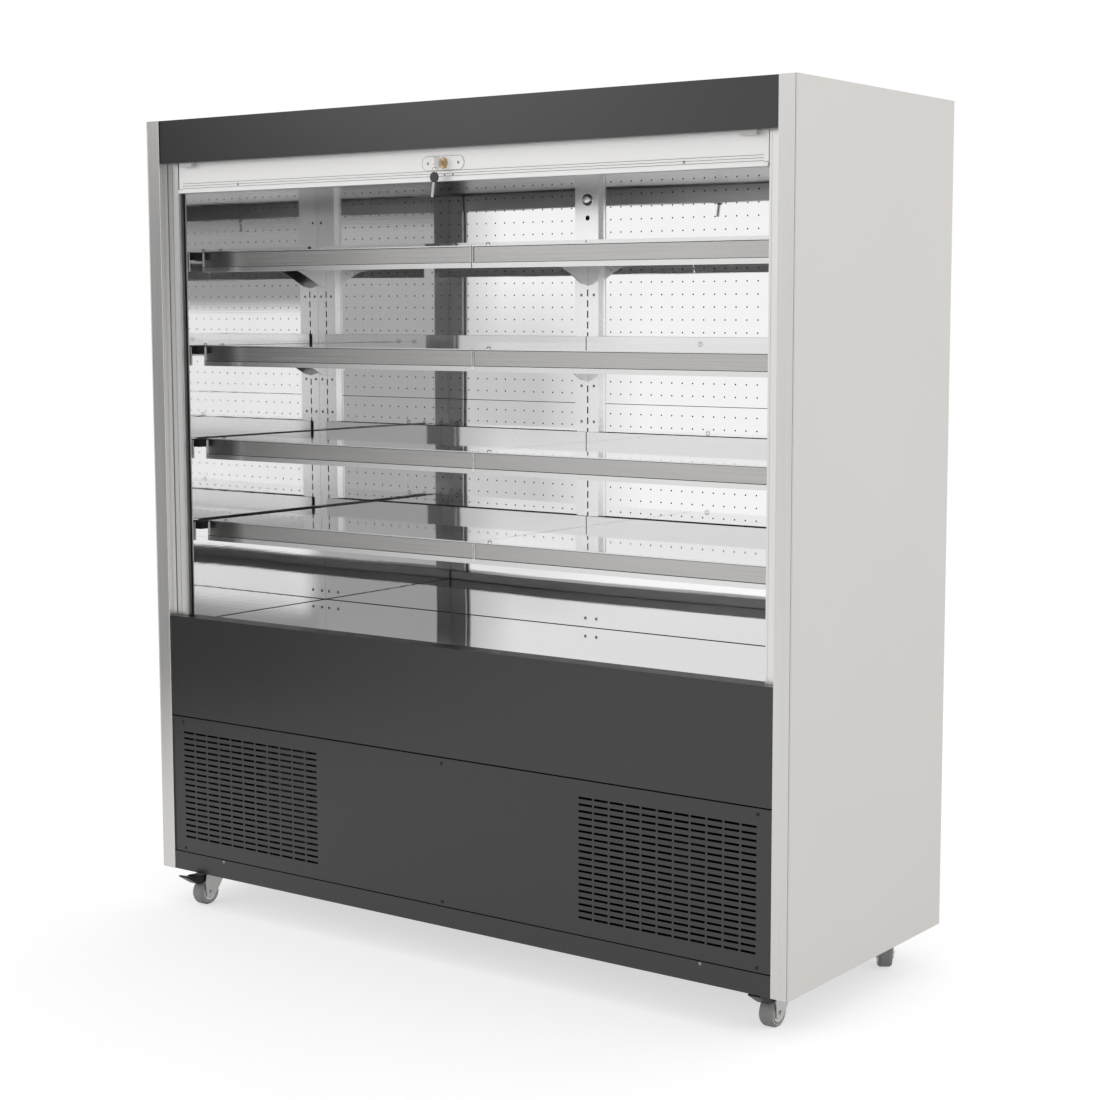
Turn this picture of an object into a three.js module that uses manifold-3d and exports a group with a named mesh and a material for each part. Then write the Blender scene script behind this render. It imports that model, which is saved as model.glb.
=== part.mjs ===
// Open multideck display fridge on casters, with a roller night shutter.
// Millimetres, +Z up, front towards -Y, standing on Z = 0.
import * as THREE from "three";
import { mergeVertices } from "three/addons/utils/BufferGeometryUtils.js";
import Module from "manifold-3d";

const wasm = await Module();
wasm.setup();

// ---------------------------------------------------------------- driving sizes
const fit = 0.3; // gap between pieces that touch
const sheet = 1.5; // folded steel sheet
const deg = Math.PI / 180;

// cabinet body
const width = 1770;
const depth = 660;
const bodyHeight = 1795;
const casterHeight = 87;
const sideWall = 24;
const sideSkin = 3.7;
const rearWall = 40;
const roofThick = 50;
const roofFlange = 4;

// front, heights measured from the bottom of the body
const trimWidth = 40;
const trimDepth = 27;
const trimInset = 4;
const fasciaSetback = 4;
const plinthSetback = 1.5;
const plinthTop = 44.4;
const plinthSeam = 1.6;
const grilleBottom = plinthTop + plinthSeam;
const grilleTop = 378;
const lowerSeam = 3;
const lowerFrontBottom = grilleTop + lowerSeam;
const sillRise = 25;
const sillDepth = 48;
const sillFlange = 20;
const headerHeight = 99.5;
const headerReturn = 30;
const stopLength = 40;
const stopInset = 96;

// service grille slots
const slotLength = 35;
const slotHeight = 5;
const slotPitchX = 40;
const slotPitchZ = 14.25;
const slotColumns = 11;
const slotRows = 19;
const slotFirstX = 77.5;
const slotFirstZ = 81.5;

// display space
const uprightFront = 553;
const uprightWidth = 62;
const uprightFlange = 12.6;
const uprightFoot = 740;
const cornerAxis = 28.5;
const panelFront = 565;
const deckHeight = 598;
const sillHeight = deckHeight + sillRise;
const deckFlange = 20;
const canopyDrop = 127;
const canopyFront = 52;
const outletFront = 62;
const outletDepth = 70;
const outletInset = 90;
const wellDrop = 183;
const tankFloorBottom = deckHeight - wellDrop;
const tankFloorThick = 48;
const tankLipDepth = 33;
const battenWidth = 30;

// upright slots
const hookSlotWidth = 3.6;
const hookSlotHeight = 16;
const hookSlotPitch = 25;
const hookSlotFirst = 769;
const uprightPlain = 170;

// shelves: height of each level as a share of the slotted length, set on the nearest slot row
const shelfShares = [1, 0.69, 0.38, 0.1];
const shelfFront = 121.5;
const shelfBack = 548;
const shelfSheet = 1.2;
const shelfEndGap = 27.3;
const shelfJointGap = 2.4;
const stripHeight = 38;
const stripApron = 11;
const stripRecess = 3.5;
const shelfUpstand = 23.5;

// shelf brackets
const bracketThick = 3;
const bracketFront = 150;
const bracketFlange = 12;
const bracketNose = 20;
const bracketHeel = 82;
const bracketRun = 153;
// lower edge of a bracket: shares of its run forwards and of its drop below the nose
const bracketCurve = [
  [1, 0.19],
  [0.67, 0.32],
  [0.48, 0.52],
  [0.31, 0.73],
  [0.15, 0.92],
];
const hookDrop = 6;
const hookThick = 2.6;

// shutter
const slatThick = 5;
const slatPlane = 38.5;
const windGap = 0.4;
const windTurns = 5;
const barrelRadius = 20;
const barrelWall = 2;
const barrelPinRadius = 8;
const barrelPinLength = 11;
const rollClear = 1.4;
const railShow = 68.5;
const railHeight = 80;
const railFront = 28;
const railDepth = 17;
const railWall = 2;
const railLip = 7;
const railLipReach = 4;
const railTongue = 11;
const guideFace = 75.4;
const guideWall = 3;
const guideSlotDepth = 17.4;
const guideSlotReach = 19.4;
const slotClear = 2.4;

// lock and keys
const lockRise = 38;
const plugRadius = 12;
const plugClear = 0.4;
const plugLength = 15;
const plugProud = 2;
const plateLength = 116;
const plateHeight = 30;
const plateProud = 1;
const bowRadius = 13.5;
const keyThick = 2.2;
const keyBladeWidth = 8;
const keyReach = 10;
const keyHole = 2.8;
const keyHoleDrop = 7.5;
const keyHoleShift = 6;
const ringRadius = 7;
const ringWire = 0.8;
const spareBow = 11;
const spareThick = 3;
const spareBladeLength = 31;
const spareBladeWidth = 7;
const spareTilt = 8;

// machine compartment
const chassisFloor = 3;
const chassisRim = 40;
const chassisFront = 30;
const padThick = 5;
const padSize = 76;
const compressorRadius = 92;
const compressorHeight = 210;
const compressorInset = 455;
const compressorX = width / 2 - compressorInset;
const compressorY = 360;
const footHeight = 18;
const footRadius = 11;
const footReach = 78;
const condenserInset = 485;
const condenser = { x: condenserInset - width / 2, front: 70, length: 420, depth: 60, height: 330 };
const evaporator = { x: 0, front: 330, length: 900, depth: 120, height: 112 };
const condenserFan = 125;
const evaporatorFan = 46;
const bladeThick = 2;
const hubHalf = 7;
const motorLength = 34;
const fanClear = 6;
const plateDepth = 40;
const fanSeat = 20;
const finPitch = 60;
const finDeep = 8;

// casters: [name, x from the nearer side, y of the swivel axis, turn in degrees, brake]
const casterPlaces = [
  ["front_left", -1, 103, 65, 0, true],
  ["front_right", 1, 83, 106, 0, true],
  ["rear_left", -1, 98, 582, 20, false],
  ["rear_right", 1, 98, 582, 35, false],
];
const wheelRadius = 31;
const wheelWidth = 30;
const wheelSides = 20;
const axleRadius = 4;
const axleClear = 0.5;
const trail = 25;
const forkSheet = 2.5;
const forkClear = 1.6;
const swivelRadius = 19;
const swivelGap = 0.4;
const crownGap = 6;
const pedalReach = 97;
const pedalWidth = 28;
const pivotRadius = 2.5;

// ---------------------------------------------------------------- derived sizes
const half = width / 2;
const base = casterHeight; // underside of the body
const top = base + bodyHeight;
const innerX = half - sideWall; // inner face of a side wall
const wellX = innerX - fit; // what spans between the side walls
const trimIn = half - trimWidth; // inner edge of a front trim
const frontX = trimIn - fit; // what spans between the trims
const tankFront = depth - rearWall;
const tankLipFront = trimDepth + fit;
const panelBack = panelFront + sheet;
const deckBack = panelFront - fit;
const guideIn = half - guideFace;
const guideFront = trimDepth + fit;
const guideBack = guideFront + 2 * guideWall + guideSlotDepth;
const slotBottomX = guideIn + guideSlotReach;
const windPitch = slatThick + windGap;
const rollRadius = barrelRadius - windGap + windPitch * windTurns + slatThick;
const barrelY = slatPlane - slatThick / 2 + rollRadius;
const rollHeight = bodyHeight - roofFlange - rollClear - rollRadius;
const headerBottom = bodyHeight - headerHeight;
const canopyHeight = bodyHeight - canopyDrop;
const railBottom = headerBottom - railShow;
const lockHeight = railBottom + lockRise;
const hookSlotSpan = canopyHeight - uprightPlain - hookSlotFirst;
const hookSlotCount = Math.floor(hookSlotSpan / hookSlotPitch) + 1;
const shelfRows = shelfShares.map((share) => Math.round(share * (hookSlotCount - 1)));
const slatHalf = slotBottomX - slotClear;
const railHalf = guideIn - slotClear;

// ---------------------------------------------------------------- shape helpers
function asSolid(geometry) {
  const plain = geometry.clone();
  plain.deleteAttribute("normal");
  plain.deleteAttribute("uv");
  const merged = mergeVertices(plain, 1e-4);
  return new wasm.Manifold(
    new wasm.Mesh({
      numProp: 3,
      vertProperties: new Float32Array(merged.attributes.position.array),
      triVerts: new Uint32Array(merged.index.array),
    }),
  );
}

function asGeometry(solid) {
  const data = solid.getMesh();
  const geometry = new THREE.BufferGeometry();
  geometry.setAttribute("position", new THREE.BufferAttribute(new Float32Array(data.vertProperties), 3));
  geometry.setIndex(new THREE.BufferAttribute(new Uint32Array(data.triVerts), 1));
  geometry.computeVertexNormals();
  return geometry;
}

const union = (pieces) => wasm.Manifold.union(pieces.map(asSolid));
const join = (...pieces) => asGeometry(union(pieces));
const cut = (body, ...tools) => asGeometry(asSolid(body).subtract(union(tools)));

function box(x0, x1, y0, y1, z0, z1) {
  const geometry = new THREE.BoxGeometry(x1 - x0, y1 - y0, z1 - z0);
  return geometry.translate((x0 + x1) / 2, (y0 + y1) / 2, (z0 + z1) / 2);
}

function outline(points, holes = []) {
  const shape = new THREE.Shape(points.map(([u, v]) => new THREE.Vector2(u, v)));
  for (const hole of holes) {
    shape.holes.push(new THREE.Path(hole.map(([u, v]) => new THREE.Vector2(u, v))));
  }
  return shape;
}

const extrude = (points, length, holes) =>
  new THREE.ExtrudeGeometry(outline(points, holes), {
    depth: length,
    bevelEnabled: false,
    curveSegments: 12,
  });

// section in YZ, run along X
function alongX(points, x0, x1, holes) {
  const turn = new THREE.Matrix4().set(0, 0, 1, x0, 1, 0, 0, 0, 0, 1, 0, 0, 0, 0, 0, 1);
  return extrude(points, x1 - x0, holes).applyMatrix4(turn);
}

// section in XZ, run along Y
function alongY(points, y0, y1, holes) {
  const turn = new THREE.Matrix4().set(1, 0, 0, 0, 0, 0, -1, y1, 0, 1, 0, 0, 0, 0, 0, 1);
  return extrude(points, y1 - y0, holes).applyMatrix4(turn);
}

// section in XY, run along Z
const alongZ = (points, z0, z1, holes) => extrude(points, z1 - z0, holes).translate(0, 0, z0);

const rectangle = (u0, u1, v0, v1) => [
  [u0, v0],
  [u1, v0],
  [u1, v1],
  [u0, v1],
];

function round(u, v, radius, steps = 24) {
  return Array.from({ length: steps }, (_, i) => {
    const angle = (2 * Math.PI * (i + 0.5)) / steps;
    return [u + radius * Math.cos(angle), v + radius * Math.sin(angle)];
  });
}

const mirrored = (points) => points.map(([u, v]) => [-u, v]).reverse();
const flip = (points, side) => (side < 0 ? points : mirrored(points));

const group = new THREE.Group();

function add(name, geometry, color, roughness, metalness, parent = group) {
  const material = new THREE.MeshStandardMaterial({ color, roughness, metalness });
  const mesh = new THREE.Mesh(geometry, material);
  mesh.name = name;
  parent.add(mesh);
  return mesh;
}

// ---------------------------------------------------------------- side walls and front trims
for (const side of [-1, 1]) {
  const label = side < 0 ? "left" : "right";
  const wall = [
    [-half, 0.8],
    [-half + sideSkin, 0.8],
    [-half + sideSkin, trimDepth + fit],
    [-innerX, trimDepth + fit],
    [-innerX, depth],
    [-half, depth],
  ];
  const pinHole = alongX(
    round(barrelY, base + rollHeight, barrelPinRadius + fit),
    side < 0 ? -innerX - barrelPinLength - 1 : innerX - 1,
    side < 0 ? -innerX + 1 : innerX + barrelPinLength + 1,
  );
  add(`${label}_side_panel`, cut(alongZ(flip(wall, side), base, top), pinHole), 0xdcd8d4, 0.45, 0.0);

  const outerX = half - trimInset;
  const trim = [
    [-outerX, 0],
    [-trimIn, 0],
    [-trimIn, trimDepth],
    [-trimIn - sheet, trimDepth],
    [-trimIn - sheet, sheet],
    [-outerX + sheet, sheet],
    [-outerX + sheet, trimDepth],
    [-outerX, trimDepth],
  ];
  add(`${label}_front_trim`, alongZ(flip(trim, side), base, top), 0xb9b8b6, 0.35, 0.9);

  const guide = [
    [-wellX, guideFront],
    [-guideIn, guideFront],
    [-guideIn, guideFront + guideWall],
    [-slotBottomX, guideFront + guideWall],
    [-slotBottomX, guideBack - guideWall],
    [-guideIn, guideBack - guideWall],
    [-guideIn, guideBack],
    [-wellX, guideBack],
  ];
  const hollow = rectangle(
    -wellX + guideWall,
    -slotBottomX - guideWall,
    guideFront + guideWall,
    guideBack - guideWall,
  );
  const rollRoom = rectangle(-slotBottomX, -guideIn + 1, guideFront + guideWall, guideBack + 1);
  const guideFoot = base + sillHeight + fit;
  const guideTop = base + rollHeight;
  add(
    `${label}_shutter_guide`,
    cut(
      alongZ(flip(guide, side), guideFoot, guideTop),
      alongZ(flip(hollow, side), guideFoot - 1, guideTop + 1),
      alongZ(flip(rollRoom, side), base + rollHeight - rollRadius - 4, guideTop + 1),
    ),
    0xc9c8c6,
    0.35,
    0.9,
  );
}

// ---------------------------------------------------------------- insulated tank, roof and base
const tankSection = [
  [depth, base],
  [depth, top],
  [tankFront, top],
  [tankFront, base + tankFloorBottom + tankFloorThick],
  [tankLipFront + tankLipDepth, base + tankFloorBottom + tankFloorThick],
  [tankLipFront + tankLipDepth, base + deckHeight - sheet - fit],
  [tankLipFront, base + deckHeight - sheet - fit],
  [tankLipFront, base + tankFloorBottom],
  [tankFront, base + tankFloorBottom],
  [tankFront, base],
];
const uprightXs = [cornerAxis - innerX, 0, innerX - cornerAxis];
const battens = uprightXs.map((x) =>
  box(
    x - battenWidth / 2,
    x + battenWidth / 2,
    panelBack + fit,
    tankFront + 1,
    base + hookSlotFirst - hookSlotPitch,
    base + canopyHeight - hookSlotPitch,
  ),
);
add("insulated_tank", join(alongX(tankSection, -wellX, wellX), ...battens), 0xd6d4d1, 0.5, 0.1);

const roofSection = [
  [fasciaSetback + headerReturn + fit, top],
  [fasciaSetback + headerReturn + fit, top - roofFlange],
  [barrelY + rollRadius + 8, top - roofFlange],
  [barrelY + rollRadius + 8, top - roofThick],
  [tankFront - fit, top - roofThick],
  [tankFront - fit, top],
];
add("roof_panel", alongX(roofSection, -wellX, wellX), 0xd9d6d2, 0.5, 0.1);

const chassisPads = casterPlaces.map(([, side, inset, y]) =>
  box(
    side * (half - inset) - padSize / 2,
    side * (half - inset) + padSize / 2,
    Math.max(y - padSize / 2, chassisFront),
    Math.min(y + padSize / 2, tankFront - fit),
    base - padThick,
    base + chassisFloor - 1,
  ),
);
const chassisSection = [
  [chassisFront, base],
  [tankFront - fit, base],
  [tankFront - fit, base + chassisRim],
  [tankFront - fit - sheet, base + chassisRim],
  [tankFront - fit - sheet, base + chassisFloor],
  [chassisFront + sheet, base + chassisFloor],
  [chassisFront + sheet, base + chassisRim],
  [chassisFront, base + chassisRim],
];
add(
  "base_chassis",
  join(alongX(chassisSection, -wellX, wellX), ...chassisPads),
  0x6f7173,
  0.5,
  0.7,
);

// ---------------------------------------------------------------- front panels
const headerZ = base + headerBottom;
const headerSection = [
  [fasciaSetback, headerZ],
  [railFront - railLipReach - 2 * fit - 0.6, headerZ],
  [railFront - railLipReach - 2 * fit - 0.6, headerZ + sheet],
  [fasciaSetback + sheet, headerZ + sheet],
  [fasciaSetback + sheet, top - sheet],
  [fasciaSetback + headerReturn, top - sheet],
  [fasciaSetback + headerReturn, top],
  [fasciaSetback, top],
];
const stops = [-1, 1].map((side) =>
  box(
    side * (half - stopInset) - (side < 0 ? 0 : stopLength),
    side * (half - stopInset) + (side < 0 ? stopLength : 0),
    fasciaSetback + 8,
    railFront - railLipReach - 1.2,
    headerZ - 9,
    headerZ + sheet / 2,
  ),
);
add("header_panel", join(alongX(headerSection, -frontX, frontX), ...stops), 0x4c4b49, 0.4, 0.35);

const sillSection = [
  [fasciaSetback, base + lowerFrontBottom],
  [fasciaSetback + sillFlange, base + lowerFrontBottom],
  [fasciaSetback + sillFlange, base + lowerFrontBottom + sheet],
  [fasciaSetback + sheet, base + lowerFrontBottom + sheet],
  [fasciaSetback + sheet, base + sillHeight - sheet],
  [fasciaSetback + sillDepth - sheet, base + sillHeight - sheet],
  [fasciaSetback + sillDepth - sheet, base + deckHeight + 2],
  [fasciaSetback + sillDepth, base + deckHeight + 2],
  [fasciaSetback + sillDepth, base + sillHeight],
  [fasciaSetback, base + sillHeight],
];
add("lower_front_panel", alongX(sillSection, -frontX, frontX), 0x3b3b39, 0.4, 0.35);

const grilleSlots = [];
for (const side of [-1, 1]) {
  for (let column = 0; column < slotColumns; column += 1) {
    for (let row = 0; row < slotRows; row += 1) {
      const outer = half - slotFirstX - column * slotPitchX;
      const z = base + slotFirstZ + row * slotPitchZ;
      grilleSlots.push(
        box(
          side < 0 ? -outer : outer - slotLength,
          side < 0 ? slotLength - outer : outer,
          fasciaSetback - 1,
          fasciaSetback + sheet + 1,
          z,
          z + slotHeight,
        ),
      );
    }
  }
}
add(
  "grille_panel",
  cut(
    box(
      -frontX,
      frontX,
      fasciaSetback,
      fasciaSetback + sheet,
      base + grilleBottom,
      base + grilleTop,
    ),
    ...grilleSlots,
  ),
  0x40403e,
  0.4,
  0.35,
);

const plinthSection = [
  [plinthSetback, base],
  [plinthSetback + sheet, base],
  [plinthSetback + sheet, base + plinthTop - sheet],
  [chassisFront - fit, base + plinthTop - sheet],
  [chassisFront - fit, base + plinthTop],
  [plinthSetback, base + plinthTop],
];
add("plinth_rail", alongX(plinthSection, -frontX, frontX), 0x3c3c3a, 0.4, 0.35);

// ---------------------------------------------------------------- display space
add(
  "perforated_back_panel",
  box(-wellX, wellX, panelFront, panelBack, base + deckHeight - deckFlange, base + canopyHeight - fit),
  0xd2d3d4,
  0.15,
  1.0,
);

const deckSection = [
  [fasciaSetback + sillDepth + fit, base + deckHeight],
  [fasciaSetback + sillDepth + fit, base + deckHeight - sheet],
  [deckBack - sheet, base + deckHeight - sheet],
  [deckBack - sheet, base + deckHeight - deckFlange],
  [deckBack, base + deckHeight - deckFlange],
  [deckBack, base + deckHeight],
];
add("deck_pan", alongX(deckSection, -wellX, wellX), 0xd2d3d4, 0.15, 1.0);

const canopyZ = base + canopyHeight;
const canopySection = [
  [canopyFront, canopyZ],
  [panelBack, canopyZ],
  [panelBack, canopyZ + sheet],
  [canopyFront + sheet, canopyZ + sheet],
  [canopyFront + sheet, canopyZ + 14],
  [canopyFront, canopyZ + 14],
];
add(
  "canopy_liner",
  cut(
    alongX(canopySection, -wellX, wellX),
    box(
      -half + outletInset,
      half - outletInset,
      outletFront,
      outletFront + outletDepth,
      canopyZ - 1,
      canopyZ + sheet + 1,
    ),
  ),
  0xd2d3d4,
  0.2,
  1.0,
);

const flangeFront = panelFront - fit - sheet;
const uprightNames = ["left_upright", "centre_upright", "right_upright"];
uprightXs.forEach((x, index) => {
  const reach = uprightWidth / 2;
  const web = (side) => [
    [x + side * (reach + uprightFlange), flangeFront + sheet],
    [x + side * (reach + uprightFlange), flangeFront],
    [x + side * reach, flangeFront],
    [x + side * reach, uprightFront],
  ];
  const webInside = (side) => [
    [x + side * (reach - sheet), uprightFront + sheet],
    [x + side * (reach - sheet), flangeFront + sheet],
  ];
  const wallReturn = (side) => [
    [side * wellX, flangeFront + sheet],
    [side * wellX, uprightFront],
  ];
  const wallInside = (side) => [
    [side * (wellX - sheet), uprightFront + sheet],
    [side * (wellX - sheet), flangeFront + sheet],
  ];
  const hat = [
    ...(index === 0 ? wallReturn(-1) : web(-1)),
    ...(index === 2 ? wallReturn(1) : web(1)).reverse(),
    ...(index === 2 ? wallInside(1) : webInside(1)).reverse(),
    ...(index === 0 ? wallInside(-1) : webInside(-1)),
  ];
  const slots = Array.from({ length: hookSlotCount }, (_, row) => {
    const z = base + hookSlotFirst + row * hookSlotPitch;
    return box(
      x - hookSlotWidth / 2,
      x + hookSlotWidth / 2,
      uprightFront - 1,
      uprightFront + sheet + 1,
      z - hookSlotHeight / 2,
      z + hookSlotHeight / 2,
    );
  });
  add(
    uprightNames[index],
    cut(alongZ(hat, base + uprightFoot, base + canopyHeight - fit), ...slots),
    0xc8c9ca,
    0.2,
    1.0,
  );
});

// ---------------------------------------------------------------- shelves
shelfRows.forEach((row, level) => {
  const shelfTop = base + hookSlotFirst + row * hookSlotPitch;
  const number = level + 1;
  const section = [
    [shelfBack, shelfTop + shelfUpstand],
    [shelfBack - shelfSheet, shelfTop + shelfUpstand],
    [shelfBack - shelfSheet, shelfTop],
    [shelfFront, shelfTop],
    [shelfFront, shelfTop - 2.5],
    [shelfFront + stripRecess, shelfTop - 2.5],
    [shelfFront + stripRecess, shelfTop - stripHeight],
    [shelfFront, shelfTop - stripHeight],
    [shelfFront, shelfTop - stripHeight - stripApron],
    [shelfFront + 12, shelfTop - stripHeight - stripApron],
    [shelfFront + 12, shelfTop - stripHeight - stripApron + sheet],
    [shelfFront + sheet, shelfTop - stripHeight - stripApron + sheet],
    [shelfFront + sheet, shelfTop - stripHeight - sheet],
    [shelfFront + stripRecess + sheet, shelfTop - stripHeight - sheet],
    [shelfFront + stripRecess + sheet, shelfTop - shelfSheet],
    [shelfBack, shelfTop - shelfSheet],
  ];
  for (const side of [-1, 1]) {
    const label = side < 0 ? "left" : "right";
    const far = side * (innerX - shelfEndGap);
    const near = side * (shelfJointGap / 2);
    const x0 = Math.min(far, near);
    const x1 = Math.max(far, near);
    add(
      `shelf_${number}_${label}`,
      alongX(section, x0, x1),
      0xb4b5b6,
      0.25,
      1.0,
    );
  }

  uprightXs.forEach((x, index) => {
    const label = ["left", "centre", "right"][index];
    const seat = shelfTop - shelfSheet - fit;
    const back = uprightFront - fit;
    const plate = [
      [bracketFront, seat],
      [bracketFront, seat - bracketNose],
      ...bracketCurve.map(([run, drop]) => [
        back - run * bracketRun,
        seat - bracketNose - drop * (bracketHeel - bracketNose),
      ]),
      [back, seat - bracketHeel],
      [back, seat],
    ];
    const hookBack = uprightFront + sheet + fit;
    const hooks = [1, 3].map((below) => {
      const slotZ = shelfTop - below * hookSlotPitch;
      const low = slotZ - hookSlotHeight / 2 + fit;
      return [
        [back - 4, slotZ + 2],
        [back - 4, low],
        [hookBack, low],
        [hookBack, low - hookDrop],
        [hookBack + hookThick, low - hookDrop],
        [hookBack + hookThick, slotZ + 2],
      ];
    });
    const x0 = x - bracketThick / 2;
    const x1 = x + bracketThick / 2;
    const flangeFrom = index === 0 ? x0 : x0 - bracketFlange / 2;
    const flangeTo = index === 2 ? x1 : x1 + bracketFlange / 2;
    const flange = box(flangeFrom, flangeTo, bracketFront, back - 20, seat - sheet, seat);
    add(
      `bracket_${number}_${label}`,
      join(alongX(plate, x0, x1), ...hooks.map((hook) => alongX(hook, x0, x1)), flange),
      0xbfc0c1,
      0.3,
      1.0,
    );
  });
});

// ---------------------------------------------------------------- night shutter
const rollZ = base + rollHeight;
function woundSheet() {
  const steps = windTurns * 12;
  const inner = [];
  const outer = [];
  for (let i = 0; i <= steps; i += 1) {
    const angle = Math.PI + (2 * Math.PI * windTurns * i) / steps;
    const radius = barrelRadius - windGap + windPitch * ((windTurns * i) / steps);
    inner.push([barrelY + radius * Math.cos(angle), rollZ + radius * Math.sin(angle)]);
    const far = radius + slatThick;
    outer.push([barrelY + far * Math.cos(angle), rollZ + far * Math.sin(angle)]);
  }
  return alongX([...inner, ...outer.reverse()], -slatHalf, slatHalf);
}
const barrelTube = alongX(round(barrelY, rollZ, barrelRadius), -wellX + 2, wellX - 2, [
  round(barrelY, rollZ, barrelRadius - barrelWall),
]);
const spokes = [-1, 1].flatMap((side) => {
  const inside = side * (wellX - 12);
  const outside = side * (innerX + barrelPinLength);
  const x0 = Math.min(inside, outside);
  const x1 = Math.max(inside, outside);
  const crossX0 = Math.min(inside, side * (wellX - 4));
  const crossX1 = Math.max(inside, side * (wellX - 4));
  const reach = barrelRadius - barrelWall / 2;
  return [
    alongX(round(barrelY, rollZ, barrelPinRadius), x0, x1),
    box(crossX0, crossX1, barrelY - reach, barrelY + reach, rollZ - 3, rollZ + 3),
    box(crossX0, crossX1, barrelY - 3, barrelY + 3, rollZ - reach, rollZ + reach),
  ];
});
add("shutter_barrel", join(barrelTube, woundSheet(), ...spokes), 0xd8d8d8, 0.4, 0.8);

const railTop = base + railBottom + railHeight;
add(
  "shutter_curtain",
  box(-slatHalf, slatHalf, slatPlane - slatThick / 2, slatPlane + slatThick / 2, railTop + fit, rollZ - fit),
  0xdadada,
  0.4,
  0.8,
);

const railZ = base + railBottom;
const railBack = railFront + railDepth;
const railSection = [
  [railFront - railLipReach, railZ],
  [railBack, railZ],
  [railBack, railTop],
  [railFront, railTop],
  [railFront, railZ + railLip],
  [railFront - railLipReach, railZ + railLip],
];
const railHollow = rectangle(
  railFront + railWall,
  railBack - railWall,
  railZ + railWall,
  railTop - railWall,
);
const tongueMid = (guideFront + guideBack) / 2;
const tongues = [-1, 1].map((side) =>
  box(
    Math.min(side * (railHalf - 4), side * slatHalf),
    Math.max(side * (railHalf - 4), side * slatHalf),
    tongueMid - railTongue / 2,
    tongueMid + railTongue / 2,
    railZ,
    railTop - 2,
  ),
);
const lockZ = base + lockHeight;
const plateEnd = plateLength / 2 - plateHeight / 2;
const lockPlate = join(
  box(
    -plateEnd,
    plateEnd,
    railFront - plateProud,
    railFront + 1,
    lockZ - plateHeight / 2,
    lockZ + plateHeight / 2,
  ),
  alongY(round(-plateEnd, lockZ, plateHeight / 2), railFront - plateProud, railFront + 1),
  alongY(round(plateEnd, lockZ, plateHeight / 2), railFront - plateProud, railFront + 1),
);
add(
  "shutter_bottom_rail",
  cut(
    join(alongX(railSection, -railHalf, railHalf, [railHollow]), ...tongues, lockPlate),
    alongY(round(0, lockZ, plugRadius + plugClear), railFront - 2 * plateProud, railFront + railWall + 1),
  ),
  0xdededc,
  0.35,
  0.6,
);

// lock plug with its keyway, the key that turns it and the spare key on the ring
const plugFace = railFront - plateProud - plugProud;
add(
  "lock_plug",
  cut(
    alongY(round(0, lockZ, plugRadius), plugFace, plugFace + plugLength),
    box(
      -keyThick / 2 - plugClear,
      keyThick / 2 + plugClear,
      plugFace - 1,
      plugFace + keyReach + 1,
      lockZ - keyBladeWidth / 2 - plugClear,
      lockZ + keyBladeWidth / 2 + plugClear,
    ),
  ),
  0xb08d57,
  0.35,
  1.0,
);

const bowY = plugFace - 4 - bowRadius;
const holeY = bowY - keyHoleShift;
const holeZ = lockZ - keyHoleDrop;
add(
  "lock_key",
  cut(
    join(
      alongX(round(bowY, lockZ, bowRadius), -keyThick / 2, keyThick / 2),
      box(
        -keyThick / 2,
        keyThick / 2,
        bowY,
        plugFace + keyReach,
        lockZ - keyBladeWidth / 2,
        lockZ + keyBladeWidth / 2,
      ),
    ),
    alongX(round(holeY, holeZ, keyHole, 12), -keyThick, keyThick),
  ),
  0xd8d8d6,
  0.3,
  1.0,
);

const ringTop = holeZ - keyHole + ringWire + fit;
const ringHang = ringRadius * 2 + spareBow - 3;
const spare = join(
  new THREE.TorusGeometry(ringRadius, ringWire, 6, 20).rotateX(Math.PI / 2).translate(0, 0, -ringRadius),
  alongY(round(0, -ringHang, spareBow), -spareThick / 2, spareThick / 2),
  box(
    -spareBladeWidth / 2,
    spareBladeWidth / 2,
    -keyThick / 2,
    keyThick / 2,
    -ringHang - spareBow - spareBladeLength,
    -ringHang,
  ),
);
const spareKey = add("spare_key", spare, 0x4a4a4a, 0.4, 0.6);
spareKey.position.set(0, holeY, ringTop);
spareKey.rotation.y = spareTilt * deg;

// ---------------------------------------------------------------- machine compartment
const lathe = (points, segments) =>
  new THREE.LatheGeometry(
    points.map(([r, z]) => new THREE.Vector2(r, z)),
    segments,
  ).rotateX(Math.PI / 2);

const floorZ = base + chassisFloor + fit;
const shellBase = floorZ + footHeight;
const feet = [-1, 1].flatMap((sx) =>
  [-1, 1].map((sy) =>
    alongZ(
      round(compressorX + sx * footReach, compressorY + sy * footReach, footRadius, 12),
      floorZ,
      shellBase + 2,
    ),
  ),
);
add(
  "compressor",
  join(
    lathe(
      [
        [0, 0],
        [compressorRadius * 0.86, 0],
        [compressorRadius, compressorHeight * 0.1],
        [compressorRadius, compressorHeight * 0.72],
        [compressorRadius * 0.84, compressorHeight * 0.9],
        [compressorRadius * 0.5, compressorHeight * 0.98],
        [0, compressorHeight],
      ],
      28,
    ).translate(compressorX, compressorY, shellBase),
    box(
      compressorX - compressorRadius,
      compressorX + compressorRadius,
      compressorY - compressorRadius,
      compressorY + compressorRadius,
      shellBase,
      shellBase + chassisFloor,
    ),
    ...feet,
  ),
  0x1c1c1c,
  0.5,
  0.3,
);

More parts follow.
